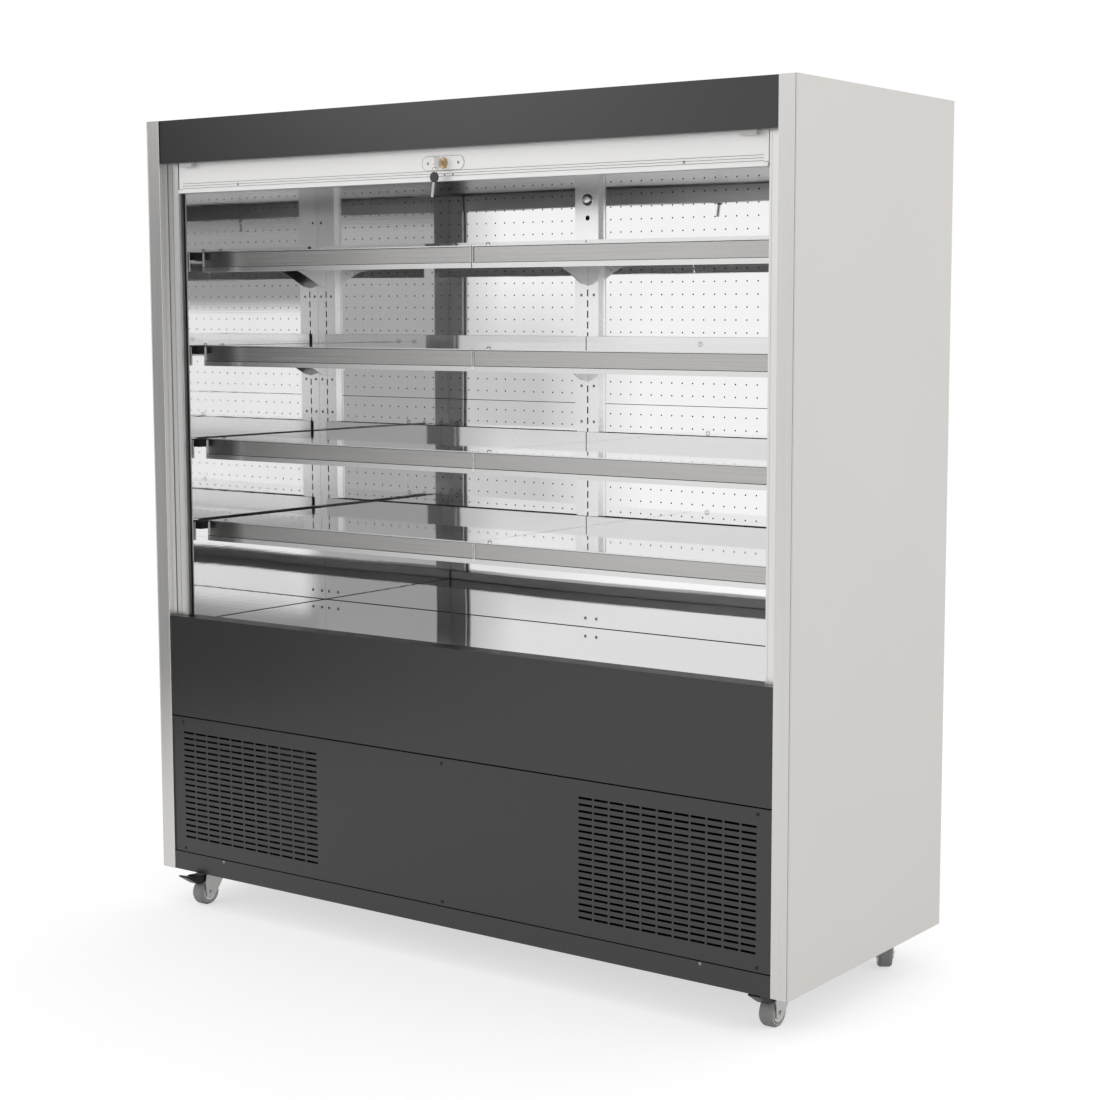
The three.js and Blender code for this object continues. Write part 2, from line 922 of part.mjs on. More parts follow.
// a finned coil with a fan plate, motor and rotor behind it
function coil(place, bottom, fanRadius) {
  const x0 = place.x - place.length / 2;
  const x1 = place.x + place.length / 2;
  const comb = [];
  for (let x = x0; x + finPitch <= x1 + 1e-6; x += finPitch) {
    comb.push([x, place.front], [x + finPitch / 2, place.front]);
    comb.push([x + finPitch / 2, place.front + finDeep], [x + finPitch, place.front + finDeep]);
  }
  comb.push([x1, place.front + place.depth], [x0, place.front + place.depth]);
  const plateBack = place.front + place.depth + plateDepth;
  const middle = bottom + place.height / 2;
  const plate = alongY(
    rectangle(x0, x1, bottom, bottom + place.height),
    place.front + place.depth - 1,
    plateBack,
    [round(place.x, middle, fanRadius + fanClear, 28)],
  );
  const bars = [
    box(
      place.x - fanRadius - fanClear - 2,
      place.x + fanRadius + fanClear + 2,
      plateBack - 4,
      plateBack,
      middle - 8,
      middle + 8,
    ),
    alongY(round(place.x, middle, fanRadius * 0.24), plateBack - 4, plateBack + motorLength),
    alongY(round(place.x, middle, axleRadius), plateBack - fanSeat - 12, plateBack),
  ];
  const body = alongZ(comb, bottom, bottom + place.height);
  return { geometry: join(body, plate, ...bars), plateBack, middle };
}

function rotor(x, y, z, radius, blades) {
  const parts = [alongY(round(0, 0, radius * 0.28), -hubHalf, hubHalf)];
  for (let i = 0; i < blades; i += 1) {
    const blade = new THREE.BoxGeometry(radius * 0.5, bladeThick, radius * 0.78);
    blade.rotateZ(20 * deg);
    blade.translate(0, 0, radius * 0.6);
    blade.rotateY((2 * Math.PI * i) / blades);
    parts.push(blade);
  }
  const whole = cut(join(...parts), alongY(round(0, 0, axleRadius + axleClear), -20, 20));
  return whole.translate(x, y, z);
}

const front = coil(condenser, floorZ, condenserFan);
add("condenser_coil", front.geometry, 0x8c8f92, 0.5, 0.8);
add(
  "condenser_fan",
  rotor(condenser.x, front.plateBack - fanSeat, front.middle, condenserFan, 5),
  0x2a2a2a,
  0.5,
  0.1,
);

const tankFloor = base + tankFloorBottom + tankFloorThick + fit;
const cold = coil(evaporator, tankFloor, evaporatorFan);
add("evaporator_coil", cold.geometry, 0xa9acaf, 0.4, 0.9);
add(
  "evaporator_fan",
  rotor(evaporator.x, cold.plateBack - fanSeat, cold.middle, evaporatorFan, 5),
  0x2a2a2a,
  0.5,
  0.1,
);

// ---------------------------------------------------------------- casters
for (const [label, side, inset, y, turn, brake] of casterPlaces) {
  const caster = new THREE.Group();
  caster.position.set(side * (half - inset), y, 0);
  caster.rotation.z = turn * deg;
  group.add(caster);

  const padZ = base - padThick;
  const crownZ = padZ - swivelGap - crownGap;
  const legIn = wheelWidth / 2 + forkClear;
  const legOut = legIn + forkSheet;
  const leg = [
    [-trail - 13, wheelRadius - 10],
    [-trail + 13, wheelRadius - 10],
    [swivelRadius, crownZ - 14],
    [swivelRadius, crownZ],
    [-trail - 14, crownZ],
    [-trail - 17, crownZ - 18],
  ];
  const pivotY = -trail - 8;
  const pivotZ = 2 * wheelRadius + 5.5;
  const fork = join(
    alongX(leg, -legOut, -legIn),
    alongX(leg, legIn, legOut),
    box(-legOut, legOut, -swivelRadius - 1, swivelRadius, crownZ - forkSheet, crownZ),
    alongZ(round(0, 0, swivelRadius + 2), crownZ - 0.5, crownZ + crownGap),
    alongX(round(-trail, wheelRadius, axleRadius, 16), -legOut - 3, legOut + 3),
    ...(brake ? [alongX(round(pivotY, pivotZ, pivotRadius, 16), -legOut - 1, legOut + 1)] : []),
  );
  add(`${label}_fork`, fork, 0xaeb0b2, 0.35, 1.0, caster);

  const rim = wheelWidth / 2;
  const outer = wheelRadius / Math.cos(Math.PI / wheelSides);
  const tread = [
    [axleRadius + axleClear, -rim - 1],
    [12, -rim - 1],
    [outer - 9, -rim + 3],
    [outer - 8, -rim],
    [outer - 3, -rim],
    [outer, -rim + 5],
    [outer, rim - 5],
    [outer - 3, rim],
    [outer - 8, rim],
    [outer - 9, rim - 3],
    [12, rim + 1],
    [axleRadius + axleClear, rim + 1],
    [axleRadius + axleClear, -rim - 1],
  ];
  const wheel = new THREE.LatheGeometry(
    tread.map(([r, a]) => new THREE.Vector2(r, a)),
    wheelSides,
  );
  wheel.rotateZ(-Math.PI / 2);
  wheel.rotateX(Math.PI / wheelSides);
  add(`${label}_wheel`, wheel, 0x8a8a8a, 0.7, 0.0, caster).position.set(0, -trail, wheelRadius);

  if (brake) {
    const tip = -pedalReach;
    const lever = [
      [pivotY + 9, pivotZ - 4],
      [pivotY + 9, pivotZ + 7],
      [pivotY - 33, pivotZ + 11],
      [pivotY - 39, pivotZ + 9],
      [tip, base - 3],
      [tip - 2, base - 6],
      [pivotY - 29, pivotZ - 10],
      [pivotY - 17, pivotZ - 10],
      [pivotY - 11, pivotZ - 7.5],
      [pivotY - 5, pivotZ - 5],
    ];
    const pedal = cut(
      alongX(lever, -pedalWidth / 2, pedalWidth / 2),
      alongX(round(pivotY, pivotZ, pivotRadius + axleClear, 16), -pedalWidth, pedalWidth),
    );
    add(`${label}_brake_pedal`, pedal, 0x1b1b1b, 0.5, 0.0, caster);
  }
}

// ---------------------------------------------------------------- origin on the floor, mid-footprint
group.updateMatrixWorld(true);
const bounds = new THREE.Box3().setFromObject(group, true);
group.position.set(
  -(bounds.min.x + bounds.max.x) / 2,
  -(bounds.min.y + bounds.max.y) / 2,
  -bounds.min.z,
);

export default group;
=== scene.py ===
import math

import bmesh
import bpy
from mathutils import Matrix, Vector


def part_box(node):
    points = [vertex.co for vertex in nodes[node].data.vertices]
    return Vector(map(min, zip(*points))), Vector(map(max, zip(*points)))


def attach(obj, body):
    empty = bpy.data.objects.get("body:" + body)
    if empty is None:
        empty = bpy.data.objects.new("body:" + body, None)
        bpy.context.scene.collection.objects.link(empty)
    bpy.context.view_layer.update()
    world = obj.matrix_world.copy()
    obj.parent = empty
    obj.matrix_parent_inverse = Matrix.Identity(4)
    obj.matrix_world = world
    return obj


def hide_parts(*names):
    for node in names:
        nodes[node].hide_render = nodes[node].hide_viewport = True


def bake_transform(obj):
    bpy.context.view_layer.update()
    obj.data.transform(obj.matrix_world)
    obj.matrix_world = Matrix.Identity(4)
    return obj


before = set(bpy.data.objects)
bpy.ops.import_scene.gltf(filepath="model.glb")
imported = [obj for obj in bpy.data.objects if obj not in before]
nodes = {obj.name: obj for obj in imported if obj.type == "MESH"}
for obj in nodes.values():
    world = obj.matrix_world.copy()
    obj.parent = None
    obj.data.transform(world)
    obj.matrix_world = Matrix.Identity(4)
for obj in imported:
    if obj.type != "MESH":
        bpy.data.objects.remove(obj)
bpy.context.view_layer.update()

# ------------------------------------------------------------------ sizes, millimetres
# x from the middle, depth back from the plane of the front trims, z from the floor
SETBACK = 313              # depth of the frame's origin
INNER = 861                # inner faces of the side panels
TRIM_BOTTOM, TRIM_TOP = 87.3, 1881.8
FASCIA = 4                 # front of the dark panels
PLINTH = 1.5               # front of the plinth rail
GUIDE = 27.3               # front of the shutter guides
GUIDE_BOTTOM, GUIDE_TOP = 711, 1824.4
BRUSH_TOP = 1824
RAIL = 28                  # face of the shutter rail, above its lip
LOCK_PLATE = RAIL - 1
LOCK = 1752                # height of the lock
RAIL_END = 807             # end of the rail's body; its tongues run on into the guides
UPRIGHT = 553              # front of the slotted uprights
CORNER_AXIS = 832.5        # middle of the left and right uprights
PANEL, PANEL_THICK = 565, 1.5
PANEL_PLAIN = 822          # the back panel has no holes below this
SEAM, SEAM_HALF = 1222, 0.7
HOLE_RADIUS, HOLE_PITCH_X, HOLE_PITCH_Z = 2.0, 28.7, 28.93
FIRST_LEFT, FIRST_RIGHT, FIRST_ROW = -55, 58, 23
HOLE_MARGIN = 8
DECK = 685
SHELVES = (1581, 1356, 1131, 931)
SHELF_FRONT = 121.5
SHELF_END = 833.7
STRIP = 38                 # height of the price strips
STRIP_RECESS = 3.5
WHEEL_FACE, WHEEL_STEPS = 15, 32        # half the width of a wheel; points on its rings
CURTAIN_TOP, CURTAIN_BOTTOM = 1824.7, 1794.3
CURTAIN_REST = CURTAIN_TOP - CURTAIN_BOTTOM
CURTAIN_HALF, CURTAIN_BACK = 826.4, 40.9
SLATS, SLAT_SEAM = 26, 38.6
TRAVEL = 1002              # of the shutter
DOT_PITCH = 0.0046         # of the air-return strip, metres
SIDES = (-1, 1)
FORWARD = (0, -1, 0)
WHITE = (1, 1, 1, 1)


def at(x, depth, z):
    """Millimetres on the object, as a point of the scene in metres."""
    return Vector((x / 1000, (depth - SETBACK) / 1000, z / 1000))


# ------------------------------------------------------------------ node helpers
class Tree:
    """The node tree of a material or a world, with short calls for the nodes that repeat."""

    def __init__(self, owner):
        owner.use_nodes = True
        self.owner = owner
        self.nodes = owner.node_tree.nodes
        self.links = owner.node_tree.links

    def new(self, kind, **inputs):
        node = self.nodes.new("ShaderNode" + kind)
        for key, value in inputs.items():
            node.inputs[key.replace("_", " ")].default_value = value
        return node

    def link(self, source, target):
        self.links.new(source, target)

    def coords(self, scale=(1, 1, 1)):
        source = self.new("TexCoord")
        mapping = self.new("Mapping", Scale=scale)
        self.link(source.outputs["Object"], mapping.inputs["Vector"])
        return mapping.outputs["Vector"]

    def split(self):
        """The object's own coordinates, one output per axis."""
        node = self.new("SeparateXYZ")
        self.link(self.coords(), node.inputs[0])
        return node.outputs

    def noise(self, scale, detail=3.0, rough=0.5, stretch=(1, 1, 1)):
        node = self.new("TexNoise", Scale=scale, Detail=detail, Roughness=rough)
        self.link(self.coords(stretch), node.inputs["Vector"])
        return node.outputs["Fac"]

    def ramp(self, source, stops):
        node = self.new("ValToRGB")
        for element, (place, color) in zip(node.color_ramp.elements, stops):
            element.position = place
            element.color = (*color, 1)
        self.link(source, node.inputs["Fac"])
        return node.outputs["Color"]

    def span(self, source, low, high, from_low=0.3, from_high=0.7):
        node = self.new("MapRange")
        for index, value in enumerate((from_low, from_high, low, high), 1):
            node.inputs[index].default_value = value
        self.link(source, node.inputs[0])
        return node.outputs[0]

    def math(self, operation, a, b=None):
        node = self.new("Math")
        node.operation = operation
        for index, value in enumerate((a, b)):
            if value is None:
                continue
            if isinstance(value, (int, float)):
                node.inputs[index].default_value = value
            else:
                self.link(value, node.inputs[index])
        return node.outputs[0]

    def weigh(self, a, b, share=0.5):
        """A share of a, and the rest of b."""
        rest = self.math("MULTIPLY", b, 1 - share)
        return self.math("ADD", self.math("MULTIPLY", a, share), rest)

    def bump(self, height, strength, distance, below=None):
        node = self.new("Bump", Strength=strength, Distance=distance)
        self.link(height, node.inputs["Height"])
        if below is not None:
            self.link(below, node.inputs["Normal"])
        return node.outputs["Normal"]

    def seen(self):
        """1 where the camera, a mirror or glass looks at the surface, and 0 for other rays."""
        rays = self.new("LightPath").outputs
        seen = self.math("MAXIMUM", rays["Is Camera Ray"], rays["Is Glossy Ray"])
        return self.math("MAXIMUM", seen, rays["Is Transmission Ray"])

    def mix(self, share, first, second, output):
        """Mixes two shader nodes into the tree's output node."""
        node = self.new("MixShader")
        for index, source in enumerate((share, first.outputs[0], second.outputs[0])):
            self.link(source, node.inputs[index])
        self.link(node.outputs[0], self.nodes[output].inputs["Surface"])

    def finish(self, **sockets):
        """Sets or links sockets of the surface shader, and returns the material."""
        shader = self.nodes["Principled BSDF"]
        for key, value in sockets.items():
            socket = shader.inputs[key.replace("_", " ")]
            if isinstance(value, (int, float, tuple)):
                socket.default_value = value
            else:
                self.link(value, socket)
        return self.owner


def material(name):
    return Tree(bpy.data.materials.new(name))


def srgb(code):
    """A colour written as six hex digits, in linear light."""
    parts = [int(code[i:i + 2], 16) / 255 for i in (0, 2, 4)]
    return tuple(c / 12.92 if c <= 0.04045 else ((c + 0.055) / 1.055) ** 2.4 for c in parts)


def shade(color, factor):
    return tuple(min(1.0, c * factor) for c in color)


def tones(tree, source, low, high, color, change):
    """A ramp from a little darker than the colour to a little lighter."""
    return tree.ramp(source, [(low, shade(color, 1 - change)), (high, shade(color, 1 + change))])


def metal(name, code, rough, stretch, grain=0.04, spread=0.06, wave=0.0, wave_size=2.2,
          metallic=1.0):
    """Rolled or brushed metal: fine lines along one axis, smudges, and a slow warp of the sheet."""
    tree = material(name)
    lines = tree.noise(260, 4, 0.6, stretch)
    smudge = tree.noise(3.1, 4, 0.55)
    normal = tree.bump(lines, 0.05, 0.0002)
    if wave:
        normal = tree.bump(tree.noise(wave_size, 1, 0.4), 1.0, wave, normal)
    return tree.finish(
        Base_Color=tones(tree, lines, 0.25, 0.75, srgb(code), grain),
        Metallic=metallic,
        Roughness=tree.span(tree.weigh(lines, smudge, 0.6), rough, rough + spread),
        Normal=normal,
    )


def paint(name, code, rough, peel=0.00012, spread=0.05, speck=0.03, metallic=0.0, specular=0.5):
    """Powder coat or lacquer: orange peel, a slow drift in tone, and rubbed patches."""
    tree = material(name)
    drift = tree.noise(2.3, 3, 0.5)
    fine = tree.noise(900, 2, 0.5)
    return tree.finish(
        Base_Color=tones(tree, drift, 0.3, 0.7, srgb(code), speck),
        Metallic=metallic,
        Specular_IOR_Level=specular,
        Roughness=tree.span(tree.weigh(drift, fine), rough, rough + spread),
        Normal=tree.bump(fine, 0.25, peel),
    )


def perforated_strip():
    """Fine round perforations on grey steel, as a pattern of dark dots: painted shade in the holes.
    """
    tree = material("perforated_strip")
    place = tree.split()
    waves = []
    for axis in ("X", "Z"):
        turn = tree.math("MULTIPLY", place[axis], 2 * math.pi / DOT_PITCH)
        waves.append(tree.math("COSINE", turn))
    dots = tree.math("MULTIPLY", *waves)
    return tree.finish(
        Base_Color=tree.ramp(dots, [(0.30, srgb("d0d0cf")), (0.42, srgb("2a2a2a"))]),
        Metallic=0.8,
        Roughness=tree.span(dots, 0.3, 0.6, 0.2, 0.5),
        Normal=tree.bump(dots, 0.4, -0.0004),
    )


ALONG_X, ALONG_Y, ALONG_Z = (0.012, 1, 1), (1, 0.012, 1), (1, 1, 0.012)

MAT = {
    "white": paint("white_paint", "dcd9d5", 0.38, speck=0.012),
    "tank": paint("tank_skin", "d6d4d1", 0.5),
    "dark": paint("dark_paint", "141413", 0.27, speck=0.05, specular=0.72),
    "trim": metal("trim_steel", "cfcdcb", 0.3, ALONG_Z),
    "guide": metal("guide_aluminium", "dcdbda", 0.3, ALONG_Z, 0.03),
    # A little darker and rougher than the guide aluminium: painted shade on the guides' back faces.
    "guide_back_shade": metal("guide_back_shaded", "cfcfcf", 0.4, ALONG_Z, 0.03),
    "canopy": metal("canopy_steel", "a6a6a6", 0.26, ALONG_X, 0.02),
    "fold": paint("folded_back", "f0f0f0", 0.45, metallic=0.3, speck=0.01),
    # Near black on the condenser coil: painted shade in the machine space behind the grille.
    "cooler": paint("cooler_black", "1a1a1a", 0.6),
    "back": metal("polished_back", "f3f3f3", 0.018, ALONG_X, 0.008, 0.012, 0.0030, 1.5),
    "wall": metal("polished_wall", "d8d8d8", 0.02, ALONG_Y, 0.01, 0.015, 0.0006, 1.2, 0.94),
    "deck": metal("polished_deck", "dedede", 0.025, ALONG_X, 0.01, 0.015, 0.0008, 1.5, 0.88),
    "upright": metal("upright_steel", "f6f6f6", 0.15, ALONG_Z, 0.02),
    "shelf": metal("shelf_top", "eeeeee", 0.03, ALONG_X, 0.012, 0.02, 0.0004, 2.0, 0.84),
    "under": metal("shelf_underside", "d6d6d5", 0.3, ALONG_X, 0.02, metallic=0.7),
    "strip": metal("strip_face", "b4b3b2", 0.2, ALONG_X, 0.08),
    "lip": metal("shelf_edge", "dcdcdb", 0.16, ALONG_X, 0.03),
    "bracket": metal("bracket_steel", "dedede", 0.2, ALONG_Y),
    "chassis": metal("chassis_steel", "8f9193", 0.4, ALONG_X, 0.08),
    "slat": paint("slat_paint", "dcdcda", 0.4, metallic=0.2),
    "rail": paint("rail_paint", "f7f6f5", 0.34, metallic=0.15, speck=0.012),
    "brass": metal("lock_brass", "cbb084", 0.36, ALONG_X, 0.08),
    "nickel": metal("key_nickel", "f0f0ef", 0.24, ALONG_Z),
    "blade": metal("spare_blade", "b4b4b3", 0.34, ALONG_Z, 0.06),
    # Mid grey: the guides' seam lines, and painted shade along the rail's ribs and round the lock
    # plate.
    "groove": paint("grey_groove", "8f8e8c", 0.5),
    "key_head": metal("key_head", "4a4a4a", 0.3, ALONG_X, 0.1),
    "black": paint("black_plastic", "0d0d0d", 0.4, specular=0.3),
    "fan": paint("fan_plastic", "242424", 0.5),
    "fins": metal("coil_fins", "a9acaf", 0.35, ALONG_Z, 0.12),
    "zinc": metal("caster_zinc", "bdbcba", 0.34, ALONG_Z, 0.1, 0.12),
    "hub": metal("hub_grey", "c6c5c3", 0.4, ALONG_Z, 0.1),
    "tyre": paint("tyre_rubber", "8b8b8b", 0.62),
    "screw": metal("screw_zinc", "9b9b9a", 0.3, ALONG_X, 0.08),
    "black_screw": paint("black_screw", "1c1c1c", 0.35, metallic=0.4),
    "seal": paint("seal_rubber", "101010", 0.6),
    # Near black, as painted shade: the back panel's hole bores and the tank seen through them, the
    # holes on the uprights, the price strips' edges, the key slot and the wheels' middle rings.
    "punched": paint("painted_shade_black", "161616", 0.6),
    "stop": paint("stop_nylon", "c9c8c6", 0.45),
    "return": perforated_strip(),
}

# ------------------------------------------------------------------ CAD nodes: finishes
PLAIN = {
    "insulated_tank": "tank", "roof_panel": "white", "base_chassis": "chassis",
    "header_panel": "dark", "lower_front_panel": "dark", "grille_panel": "dark",
    "plinth_rail": "dark", "left_front_trim": "trim", "right_front_trim": "trim",
    "left_shutter_guide": "guide", "right_shutter_guide": "guide",
    "perforated_back_panel": "back", "deck_pan": "deck", "canopy_liner": "canopy",
    "left_upright": "upright", "centre_upright": "upright", "right_upright": "upright",
    "shutter_barrel": "slat", "shutter_curtain": "slat", "shutter_bottom_rail": "rail",
    "lock_plug": "brass", "lock_key": "nickel", "spare_key": "blade",
    "compressor": "black", "condenser_coil": "cooler", "condenser_fan": "fan",
    "evaporator_coil": "fins", "evaporator_fan": "fan",
}
FAMILIES = {
    "bracket_": "bracket", "shelf_": "shelf", "_side_panel": "white", "_fork": "zinc",
    "_wheel": "tyre", "_brake_pedal": "black",
}
for name, node in nodes.items():
    finish = PLAIN.get(name)
    for part, family in FAMILIES.items():
        if name.startswith(part) or name.endswith(part):
            finish = family
    node.data.materials.clear()
    node.data.materials.append(MAT[finish])


def refinish(name, finish, chosen):
    """Gives a second finish to the faces of a CAD node that chosen(face centre, normal) picks."""
    mesh = nodes[name].data
    mesh.materials.append(MAT[finish])
    index = len(mesh.materials) - 1
    for face in mesh.polygons:
        x, y, z = face.center
        if chosen(Vector((x * 1000, y * 1000 + SETBACK, z * 1000)), face.normal):
            face.material_index = index


def inward(center, normal):
    return normal.x * center.x < 0 and abs(normal.x) > 0.9


def forward(normal):
    return normal.y < -0.7


EDGE = SHELF_FRONT + 8           # the faces of a shelf's front edge lie in front of this
STRIP_FROM = SHELF_FRONT + 2     # and those of its price strip behind this
APRON = SHELF_FRONT + 30         # the back of the folded front lies in front of this
STOP_FROM, STOP_TO, STOP_TOP = 745, 793, 1782.4
KEY_HEAD_FROM, KEY_HEAD_TO = 1708, 1731

for label in ("left", "right"):
    # The guides' back faces take the darker guide finish: painted shade.
    refinish(f"{label}_shutter_guide", "guide_back_shade", lambda c, n: n.y > 0.9)
    # The front trims' inward faces take the lighter, smoother shelf-edge steel: painted light on
    # each trim's return.
    refinish(f"{label}_front_trim", "lip", inward)
    refinish(f"{label}_side_panel", "wall",
             lambda c, n: inward(c, n) and abs(abs(c.x) - INNER) < 2)
    for number, top in enumerate(SHELVES, 1):
        shelf = f"shelf_{number}_{label}"
        refinish(shelf, "lip", lambda c, n: forward(n) and c.y < EDGE)
        refinish(shelf, "strip",
                 lambda c, n: forward(n) and STRIP_FROM < c.y < EDGE and c.z > top - 40)
        refinish(shelf, "fold", lambda c, n: n.y > 0.7 and c.y < APRON)
        refinish(shelf, "under", lambda c, n: n.z < -0.7 and c.z > top - 5)
refinish("header_panel", "stop",
         lambda c, n: STOP_FROM < abs(c.x) < STOP_TO and c.z < STOP_TOP)
# The tank's front faces behind the back panel are near black: painted shade seen through the holes.
refinish("insulated_tank", "punched", lambda c, n: forward(n) and c.y > PANEL)
refinish("spare_key", "key_head", lambda c, n: KEY_HEAD_FROM < c.z < KEY_HEAD_TO)
refinish("shutter_bottom_rail", "guide", lambda c, n: n.y > 0.9)


# ------------------------------------------------------------------ mesh helpers
def add_mesh(name, bm):
    """Turns bm into an object of the scene, and frees it."""
    mesh = bpy.data.meshes.new(name)
    bm.to_mesh(mesh)
    bm.free()
    obj = bpy.data.objects.new(name, mesh)
    bpy.context.scene.collection.objects.link(obj)
    return obj


def piece(name, maker, finishes, body, smooth=False, replaces=(), blend=None):
    """One mesh object made by maker(bm), which rides on a CAD body; with blend, its transform goes
    into the mesh instead.
    """
    bm = bmesh.new()
    maker(bm)
    bmesh.ops.remove_doubles(bm, verts=bm.verts, dist=1e-6)
    bmesh.ops.recalc_face_normals(bm, faces=bm.faces)
    obj = add_mesh(name, bm)
    for finish in finishes.split():
        obj.data.materials.append(MAT[finish])
    for face in obj.data.polygons:
        face.use_smooth = smooth
    if blend:
        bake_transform(obj)
    else:
        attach(obj, body)
    if replaces:
        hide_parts(*replaces)


def block(bm, x, depth, z, bevel=0.0):
    """A block between pairs of millimetre sizes, with bevelled edges."""
    low = at(min(x), min(depth), min(z))
    high = at(max(x), max(depth), max(z))
    place = Matrix.LocRotScale((low + high) / 2, None, high - low)
    made = bmesh.ops.create_cube(bm, size=1.0, matrix=place)
    if bevel:
        edges = {edge for vert in made["verts"] for edge in vert.link_edges}
        bmesh.ops.bevel(
            bm, geom=list(edges), offset=bevel / 1000, segments=2, affect="EDGES", profile=0.5
        )


def pair(bm, x, depth, z, bevel=0.0):
    """The same block on the left and on the right."""
    for side in SIDES:
        block(bm, (side * x[0], side * x[1]), depth, z, bevel)


def frame_to(normal):
    """Rotation that takes +Z to normal and keeps X level."""
    z = Vector(normal).normalized()
    x = Vector((0, 0, 1)).cross(z)
    if x.length < 1e-4:
        x = Vector((1, 0, 0))
    x.normalize()
    return Matrix((x, z.cross(x), z)).transposed().to_4x4()


def ring_points(place, radius, height, count):
    turn = 2 * math.pi / count
    return [
        place @ Vector((radius * math.cos(k * turn), radius * math.sin(k * turn), height))
        for k in range(count)
    ]


def new_loops(bm, rings):
    return [[bm.verts.new(point) for point in ring] for ring in rings]


def bridge(bm, loops):
    """Faces between neighbouring loops of vertices."""
    count = len(loops[0])
    for lower, upper in zip(loops, loops[1:]):
        for k in range(count):
            n = (k + 1) % count
            bm.faces.new((lower[k], lower[n], upper[n], upper[k]))


def loft(bm, rings):
    """Closed skin through rings of points, with a face at each end."""
    loops = new_loops(bm, rings)
    bridge(bm, loops)
    bm.faces.new(list(reversed(loops[0])))
    bm.faces.new(loops[-1])


def hoop(bm, rings):
    """Closed skin through rings of points, from the last back to the first."""
    loops = new_loops(bm, rings)
    bridge(bm, loops + loops[:1])


def head(bm, center, normal, radius, height, cross=False, turn=0.3):
    """A domed rivet or screw head in millimetres; a screw has a sunk cross."""
    place = Matrix.Translation(center) @ frame_to(normal) @ Matrix.Rotation(turn, 4, "Z")
    radius, height = radius / 1000, height / 1000
    steps = 24
    rows = [ring_points(place, radius, -0.0004, steps)]
    for share in (1.0, 0.92, 0.8, 0.66, 0.6, 0.45, 0.3, 0.15):
        row = []
        for k in range(steps):
            angle = 2 * math.pi * k / steps
            x, y = share * math.cos(angle), share * math.sin(angle)
            z = height * math.sqrt(max(0.02, 1 - share ** 2.6))
            if cross and share < 0.63 and min(abs(x), abs(y)) < 0.16:
                z -= height * 0.6
            row.append(place @ Vector((x * radius, y * radius, z)))
        rows.append(row)
    loft(bm, rows)


def tube(bm, points, radius, sides=10):
    """A round bar in millimetres through a list of points."""
    rings = []
    for k, point in enumerate(points):
        ahead = points[min(k + 1, len(points) - 1)] - points[max(k - 1, 0)]
        side = ahead.cross(Vector((0, 0.9, 0.43))).normalized()
        over = ahead.cross(side).normalized()
        ring = []
        for j in range(sides):
            angle = 2 * math.pi * j / sides
            ring.append(point + (side * math.cos(angle) + over * math.sin(angle)) * radius / 1000)
        rings.append(ring)
    loft(bm, rings)


# ------------------------------------------------------------------ back panel with real holes
def panel_box():
    """Left, right, bottom and top of the back panel."""
    low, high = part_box("perforated_back_panel")
    return low[0] * 1000, high[0] * 1000, low[2] * 1000, high[2] * 1000


def cell_borders(values, first, last, breaks=()):
    """Half way between neighbours, or on a break that lies between them."""
    borders = [first]
    for a, b in zip(values, values[1:]):
        inside = [v for v in breaks if a < v < b]
        borders.append(inside[0] if inside else (a + b) / 2)
    return borders + [last]


def hole_row(starts, pitch, low, high):
    """Hole centres that run both ways, from starts of (place, direction, count)."""
    places = [start + way * pitch * k for start, way, count in starts for k in range(count)]
    return sorted(v for v in places if low + HOLE_MARGIN < v < high - HOLE_MARGIN)


def perforated(bm):
    left, right, _, top = panel_box()
    columns = hole_row(((FIRST_LEFT, -1, 28), (FIRST_RIGHT, 1, 28)), HOLE_PITCH_X, left, right)
    rows = hole_row(((SEAM + FIRST_ROW, 1, 20), (SEAM - FIRST_ROW, -1, 14)), HOLE_PITCH_Z,
                    PANEL_PLAIN, top)
    xs = cell_borders(columns, left, right)
    zs = cell_borders(rows, PANEL_PLAIN, top, (SEAM,))
    octagon = [(math.cos(k * math.pi / 4), math.sin(k * math.pi / 4)) for k in range(8)]
    front, back = PANEL, PANEL + PANEL_THICK
    for i, x in enumerate(columns):
        for j, z in enumerate(rows):
            x0, x1, z0, z1 = xs[i], xs[i + 1], zs[j], zs[j + 1]
            above, below = z1 == SEAM, z0 == SEAM
            z1 -= SEAM_HALF * above
            z0 += SEAM_HALF * below
            rim = [(x1, z), (x1, z1), (x, z1), (x0, z1), (x0, z), (x0, z0), (x, z0), (x1, z0)]
            hole = [(x + HOLE_RADIUS * u, z + HOLE_RADIUS * v) for u, v in octagon]
            rings = new_loops(bm, [
                [at(u, depth, v) for u, v in outline]
                for outline, depth in ((rim, front), (hole, front), (hole, back), (rim, back))
            ])
            # The bore of each hole takes the second, near-black finish: painted shade inside the
            # holes.
            for k in range(8):
                n = (k + 1) % 8
                for part, (a, b) in enumerate(zip(rings, rings[1:])):
                    face = bm.faces.new((a[k], a[n], b[n], b[k]))
                    face.material_index = 1 if part == 1 else 0
            outer, inner = rings[0], rings[3]
            sides = []
            sides += [(3, 4), (4, 5)] if i == 0 else []
            sides += [(0, 1), (7, 0)] if i == len(columns) - 1 else []
            sides += [(5, 6), (6, 7)] if j == 0 or below else []
            sides += [(1, 2), (2, 3)] if j == len(rows) - 1 or above else []
            for a, b in sides:
                bm.faces.new((outer[a], outer[b], inner[b], inner[a]))


def panel_foot(bm):
    left, right, bottom, _ = panel_box()
    block(bm, (left, right), (PANEL, PANEL + PANEL_THICK), (bottom, PANEL_PLAIN - 0.4))


piece("back_panel_holes", perforated, "back punched", "cabinet",
      replaces=("perforated_back_panel",))
piece("back_panel_foot", panel_foot, "back", "cabinet")


